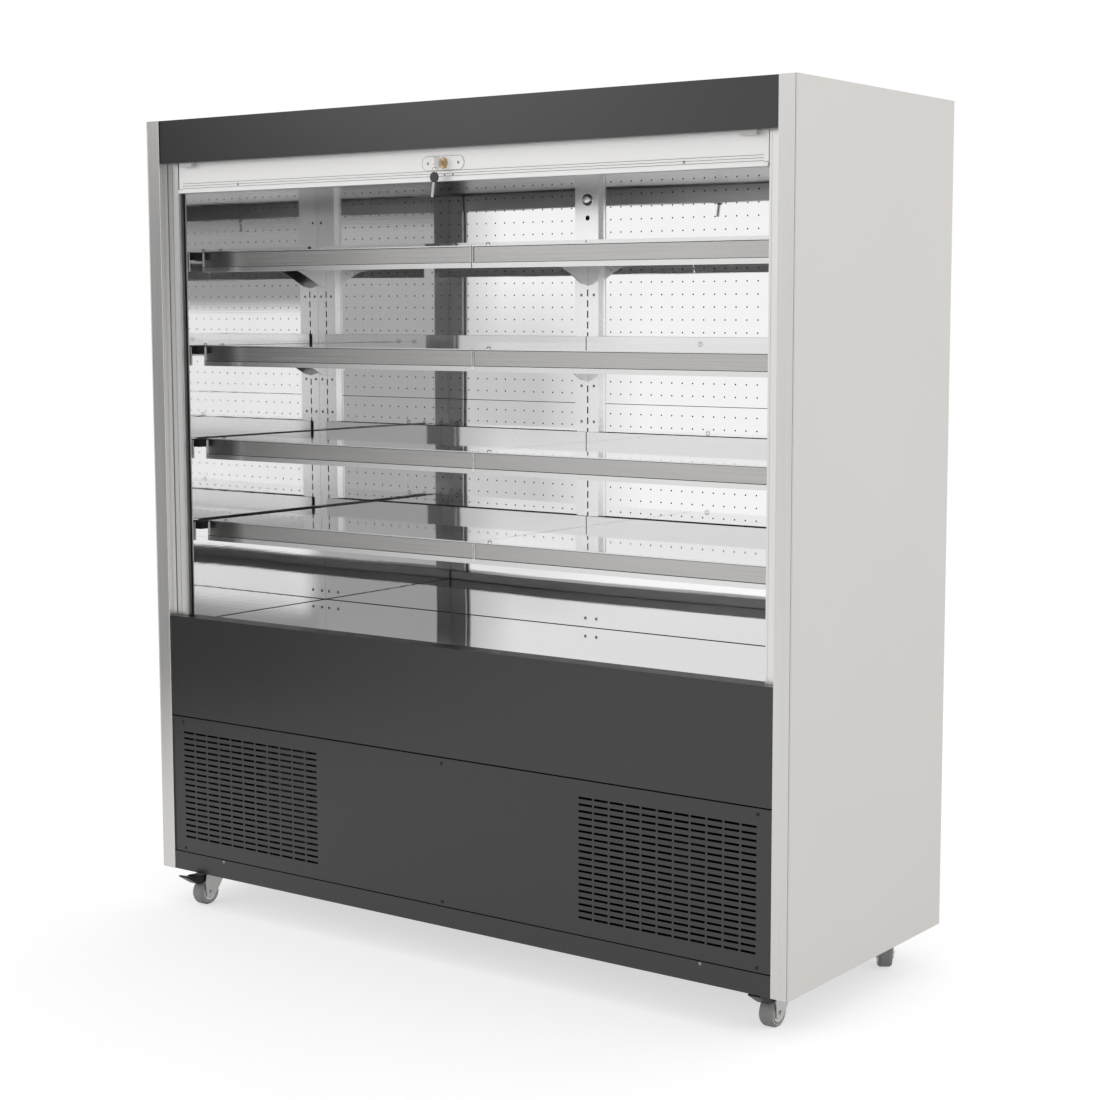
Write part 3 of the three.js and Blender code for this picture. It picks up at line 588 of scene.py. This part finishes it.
# ------------------------------------------------------------------ small parts of the cabinet
def rivets(bm):
    for z in (1476, 1263, 1179):
        for middle, apart in ((0, 18), (-CORNER_AXIS, 17), (CORNER_AXIS, 17)):
            for side in SIDES:
                head(bm, at(middle + side * apart, UPRIGHT, z), FORWARD, 3.4, 1.2)
    for middle in (-CORNER_AXIS, 0, CORNER_AXIS):
        for x in (-16, 16):
            head(bm, at(middle + x, PANEL, 707), FORWARD, 3.8, 1.4)


# Near-black discs on the uprights: painted shade of the holes there.
def hole_shade_marks(bm):
    head(bm, at(0, UPRIGHT, 1655), FORWARD, 6, 0.8)
    for side in SIDES:
        head(bm, at(side * (CORNER_AXIS + 14), UPRIGHT, 1664), FORWARD, 3, 0.5)


def dome(bm):
    head(bm, at(0, UPRIGHT, 1697), FORWARD, 14, 9)


def deck_seal(bm):
    bead = (DECK + 0.1, DECK + 0.9)
    pair(bm, (859.1, 860.7), (56, 562), bead, 0.3)
    block(bm, (-860.5, 860.5), (562.6, 564.4), bead, 0.3)


def air_return(bm):
    block(bm, (-858, 858), (52.6, 53.6), (686.2, 709), 0.2)


# Near-black blocks fill the gap between each shelf's ends and the side walls, under the shelf top.
def end_gap_blocks(bm):
    for top in SHELVES:
        pair(bm, (834.6, 860.5), (100.7, 545), (top - 20, top - 2.4), 0.8)


def end_caps(bm):
    for top in SHELVES:
        for x, reach in ((SHELF_END, -1.6), (1.2, 1.6)):
            pair(bm, (x, x + reach), (SHELF_FRONT + 0.1, SHELF_FRONT + 4.2),
                 (top - STRIP + 0.3, top - 2.8), 0.5)


# Thin near-black bars along the upper and lower edges of each price strip: painted shade.
def strip_shade_lines(bm):
    face = SHELF_FRONT + STRIP_RECESS
    for top in SHELVES:
        for low, high in ((3.8, 2.6), (38, 36.8)):
            pair(bm, (3, 832), (face - 0.3, face), (top - low, top - high))


def clips(bm):
    path = [(-5, 0.5), (-4.6, 3.2), (-2.5, 4.6), (2.5, 4.6), (4.6, 3.2), (5, 0.5)]
    for top in SHELVES:
        for x in (-SHELF_END + 4, -772, 45):
            tube(bm, [at(x + u, SHELF_FRONT + 1.4, top + v) for u, v in path], 0.9)


def guide_ribs(bm):
    pair(bm, (811, 815), (26.7, GUIDE), (GUIDE_BOTTOM, GUIDE_TOP), 0.25)
    pair(bm, (809.8, 813), (30.5, 33.2), (GUIDE_BOTTOM, BRUSH_TOP), 0.4)


def guide_brushes(bm):
    pair(bm, (810.2, 813.4), (44.8, 47.3), (GUIDE_BOTTOM, BRUSH_TOP), 0.4)


def guide_seams(bm):
    pair(bm, (843.4, 844.7), (26.6, GUIDE), (GUIDE_BOTTOM, GUIDE_TOP), 0.2)
    pair(bm, (829, 830), (26.9, GUIDE), (GUIDE_BOTTOM, GUIDE_TOP), 0.2)


# A thin bright bar along each front trim's inner edge: a painted highlight on the trim's bend.
def trim_edge_highlights(bm):
    pair(bm, (844.4, 846.6), (0.05, 1.4), (TRIM_BOTTOM + 0.2, TRIM_TOP - 0.3), 0.4)


def trim_caps(bm):
    thick = 1.4
    for low in (TRIM_BOTTOM, TRIM_TOP - thick):
        pair(bm, (846.6, 879.4), (1.6, 26.9), (low, low + thick))
    pair(bm, (845.1, 860.6), (27.4, 33.9), (TRIM_TOP - thick, TRIM_TOP))


def end_hooks(bm):
    for top in SHELVES:
        pair(bm, (851.5, 860.6), (96.5, 100.5), (top - 48, top - 3), 1.2)


def black_screws(bm):
    for x in (-810, 0, 810):
        for z in (453, 142):
            head(bm, at(x, FASCIA, z), FORWARD, 4.2, 1.3, True, 0.4 + x)


def plinth_screws(bm):
    for x in (-678, 678):
        head(bm, at(x, PLINTH, 127), FORWARD, 3.4, 1.2, True, x)
    for side in SIDES:
        head(bm, at(side * 853, GUIDE, 1717), FORWARD, 3.2, 0.9, True, side)


piece("cabinet_rivets", rivets, "screw", "cabinet", True)
piece("upright_hole_shade", hole_shade_marks, "punched", "cabinet", True)
piece("upright_dome", dome, "nickel", "cabinet", True)
piece("deck_sealant", deck_seal, "seal", "cabinet")
piece("air_return_strip", air_return, "return", "cabinet")
piece("shelf_end_gap_blocks", end_gap_blocks, "seal", "cabinet")
piece("shelf_end_caps", end_caps, "lip", "cabinet")
piece("shelf_strip_shade_lines", strip_shade_lines, "punched", "cabinet")
piece("shelf_clips", clips, "key_head", "cabinet", True)
piece("guide_ribs", guide_ribs, "guide", "cabinet")
piece("guide_brushes", guide_brushes, "seal", "cabinet")
piece("guide_seams", guide_seams, "groove", "cabinet")
piece("trim_edge_highlights", trim_edge_highlights, "nickel", "cabinet")
piece("trim_caps", trim_caps, "trim", "cabinet")
piece("shelf_end_hooks", end_hooks, "lip", "cabinet")
piece("grille_screws", black_screws, "black_screw", "cabinet", True)
piece("plinth_screws", plinth_screws, "screw", "cabinet", True)


# ------------------------------------------------------------------ rings on the wheel faces
def wheel_rings(center, axis, inner, outer, lift):
    """One flat raised ring on each face of a wheel, in millimetres."""
    def make(bm):
        foot, top = WHEEL_FACE - 0.1, WHEEL_FACE + lift
        for side in SIDES:
            place = Matrix.Translation(center) @ frame_to(side * axis)
            hoop(bm, [
                ring_points(place, radius / 1000, height / 1000, WHEEL_STEPS)
                for radius, height in ((inner, foot), (inner, top), (outer, top), (outer, foot))
            ])
    return make


WHEEL_TURNS = {"front_left": 0, "front_right": 0, "rear_left": 20, "rear_right": 35}
# The middle ring on each wheel face is near black: painted shade of the channel between hub and
# rim.
WHEEL_RINGS = (
    ("hub", "hub", 12.5, 20.5, 0.7),
    ("groove", "punched", 20.7, 22.6, 0.25),
    ("rim", "hub", 22.8, 24.6, 0.5),
)
for label, degrees in WHEEL_TURNS.items():
    low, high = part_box(f"{label}_wheel")
    center = (Vector(low) + Vector(high)) / 2
    axis = Vector((math.cos(math.radians(degrees)), math.sin(math.radians(degrees)), 0))
    for name, finish, inner, outer, lift in WHEEL_RINGS:
        piece(f"{label}_{name}", wheel_rings(center, axis, inner, outer, lift), finish,
              f"{label}_wheel")


# ------------------------------------------------------------------ small parts of the shutter
# The rail's ribs are mid grey: painted shade along them.
def rail_ribs(bm):
    for z in (1724, 1729.6, 1735.2):
        block(bm, (-796, 796), (RAIL - 0.5, RAIL), (z, z + 1.1), 0.2)


def rail_screws(bm):
    for x in (-613.7, 613.7):
        head(bm, at(x, RAIL, 1729), FORWARD, 3.2, 1.1, True, x)
    for x in (-42, 42):
        head(bm, at(x, LOCK_PLATE, LOCK), FORWARD, 3.2, 0.9, True, x)
    for x in (3.1, 26.5):
        head(bm, at(x, RAIL, 1727), FORWARD, 2.4, 0.8)


def escutcheon_edge(bm):
    """A thin line round the lock plate, painted shade at its edge: two half circles joined by
    straights.
    """
    straight, radius, steps = 43, 15, 12
    section = ((-0.45, 0.3), (-0.45, -0.15), (0.3, -0.15), (0.3, 0.3))
    rings = []
    for side in (1, -1):
        for k in range(steps + 1):
            turn = math.pi * (k / steps - 0.5)
            x = side * (straight + radius * math.cos(turn))
            z = side * radius * math.sin(turn)
            out = Vector((x - math.copysign(straight, x), z)).normalized()
            rings.append([
                at(x + out.x * u, LOCK_PLATE + v, LOCK + z + out.y * u) for u, v in section
            ])
    hoop(bm, rings)


def rail_ends(bm):
    pair(bm, (RAIL_END - 10, RAIL_END - 0.2), (RAIL - 1.2, RAIL + 12), (1714.4, 1724), 0.6)


def rail_seals(bm):
    pair(bm, (RAIL_END + 0.3, RAIL_END + 1.9), (31.5, 44), (1716, 1756), 0.3)


# A near-black bar on the lock plug for the key slot: painted shade in the slot.
def keyway(bm):
    block(bm, (-1.1, 1.1), (24.5, 25.1), (LOCK - 5, LOCK + 5), 0.2)


piece("rail_ribs", rail_ribs, "groove", "shutter")
piece("escutcheon_edge", escutcheon_edge, "groove", "shutter", True)
piece("rail_screws", rail_screws, "screw", "shutter", True)
piece("rail_end_caps", rail_ends, "stop", "shutter")
piece("rail_end_seals", rail_seals, "seal", "shutter")
piece("lock_keyway", keyway, "punched", "lock")


def slat_share(share):
    """How far along the resting curtain a point is that hangs at this share when lowered."""
    low, high = 0.0, 1.0
    for _ in range(50):
        middle = (low + high) / 2
        eased = middle * middle * (3 - 2 * middle)
        if CURTAIN_REST * middle + TRAVEL * eased < (CURTAIN_REST + TRAVEL) * share:
            low = middle
        else:
            high = middle
    return (low + high) / 2


def curtain(bm):
    """Slats of equal height when lowered, squeezed together while the shutter is up."""
    profile = ((0.0, SLAT_SEAM), (0.03, 39.4), (0.08, 37.0), (0.25, 36.3), (0.5, 36.0),
               (0.75, 36.3), (0.92, 37.0), (0.97, SLAT_SEAM))
    rows = [((slat + part) / SLATS, depth) for slat in range(SLATS) for part, depth in profile]
    rows.append((1.0, SLAT_SEAM))
    rings = []
    for share, depth in rows:
        z = CURTAIN_TOP - CURTAIN_REST * slat_share(share)
        corners = ((-CURTAIN_HALF, depth), (CURTAIN_HALF, depth),
                   (CURTAIN_HALF, CURTAIN_BACK), (-CURTAIN_HALF, CURTAIN_BACK))
        rings.append([at(x, d, z) for x, d in corners])
    loft(bm, rings)


piece("shutter_slats", curtain, "slat", "shutter",
      replaces=("shutter_curtain",),
      blend=(at(0, 38.5, CURTAIN_TOP), at(0, 38.5, CURTAIN_BOTTOM)))


# ------------------------------------------------------------------ stage, light and camera
def plane(name, size):
    bm = bmesh.new()
    bmesh.ops.create_grid(bm, x_segments=1, y_segments=1, size=size)
    return add_mesh(name, bm)


def greys(tree, scale, low, high):
    """A level that drifts a little, so that a plain surface isn't one flat colour."""
    return tree.ramp(tree.noise(scale, 2), [(0.3, (low,) * 3), (0.7, (high,) * 3)])


floor = plane("floor", 14)
tree = material("floor_pale")
floor.data.materials.append(tree.finish(
    Base_Color=greys(tree, 3.0, 0.575, 0.585),
    Roughness=0.9,
    Specular_IOR_Level=0.0,
    Emission_Color=WHITE,
    Emission_Strength=tree.math("MULTIPLY", tree.seen(), 0.55),
))

world = bpy.data.worlds.new("studio")
bpy.context.scene.world = world
tree = Tree(world)
lit = tree.nodes["Background"]
lit.inputs["Color"].default_value = WHITE
lit.inputs["Strength"].default_value = 0.8
white = tree.new("Background", Color=WHITE, Strength=1.0)
tree.mix(tree.seen(), lit, white, "World Output")


def area(name, place, target, size, power, mirrored=True):
    data = bpy.data.lights.new(name, "AREA")
    data.shape = "RECTANGLE"
    data.size, data.size_y = size
    data.energy = power
    lamp = bpy.data.objects.new(name, data)
    lamp.location = place
    lamp.visible_camera = False
    lamp.visible_glossy = mirrored
    lamp.rotation_euler = (Vector(target) - Vector(place)).to_track_quat("-Z", "Y").to_euler()
    bpy.context.scene.collection.objects.link(lamp)


area("key", (-3.1, -4.4, 2.8), (0, 0, 1.2), (1.8, 1.6), 31, False)
area("side", (4.2, 0.4, 2.6), (0.8, 0, 1.0), (2.4, 2.4), 22)
area("low", (3.35, -3.35, 0.95), (0, 0, 1.0), (1.3, 1.5), 15, False)


def add_card(name, place, size, level, turn=0, soft=(0.2, 0.2), tilt=90):
    """A studio card that only reflections see: its own brightness, and soft edges."""
    card = plane(name, 0.5)
    card.location = place
    card.scale = (*size, 1)
    card.rotation_euler = (math.radians(tilt), 0, math.radians(turn))
    card.visible_camera = False
    card.visible_diffuse = False
    card.visible_shadow = False
    tree = material(name + "_card")
    axes = tree.split()
    cover = None
    for axis, edge in zip(("X", "Y"), soft):
        away = tree.math("ABSOLUTE", axes[axis])
        fade = tree.span(away, 1, 0, 0.5 - edge, 0.5)
        cover = fade if cover is None else tree.math("MULTIPLY", cover, fade)
    glow = tree.new("Emission", Strength=1.0)
    tree.link(greys(tree, 2.0, level * 0.97, level * 1.03), glow.inputs["Color"])
    tree.mix(cover, tree.new("BsdfTransparent"), glow, "Material Output")
    tree.nodes.remove(tree.nodes["Principled BSDF"])
    card.data.materials.append(tree.owner)


add_card("header_card", (-3.5, -4.4, 2.75), (2.6, 1.3), 3.0, -38, (0.35, 0.35))
add_card("left_card", (-8.0, -5.8, 1.4), (6.0, 6.0), 0.03, soft=(0.16, 0.1))
add_card("floor_card", (-4.1, -2.7, 0.012), (4.2, 3.2), 0.05, tilt=0)
add_card("grey_card", (-4.1, -4.6, 0.75), (1.5, 1.8), 0.62, -40, (0.35, 0.3))
add_card("right_card", (2.17, -3.62, 0.9), (1.35, 2.2), 0.62, soft=(0.06, 0.06))
add_card("bright_card", (3.45, -3.6, 0.8), (1.3, 1.42), 1.35, soft=(0.06, 0.06))
add_card("middle_card", (2.8, -3.64, 1.72), (2.8, 0.66), 0.5, soft=(0.05, 0.1))
add_card("top_card", (2.8, -3.58, 2.75), (2.8, 1.8), 0.1, soft=(0.05, 0.08))

camera_data = bpy.data.cameras.new("camera")
camera_data.sensor_width = 36
camera_data.lens = 68.65
camera_data.shift_x = -0.04458
camera_data.shift_y = -0.00153
camera_data.clip_end = 100
camera = bpy.data.objects.new("camera", camera_data)
camera.location = (2.9093, -3.7821, 1.4364)
camera.rotation_euler = (math.radians(83.5732), 0, math.radians(35.5705))
bpy.context.scene.collection.objects.link(camera)
bpy.context.scene.camera = camera
bpy.context.scene.view_settings.view_transform = "Standard"
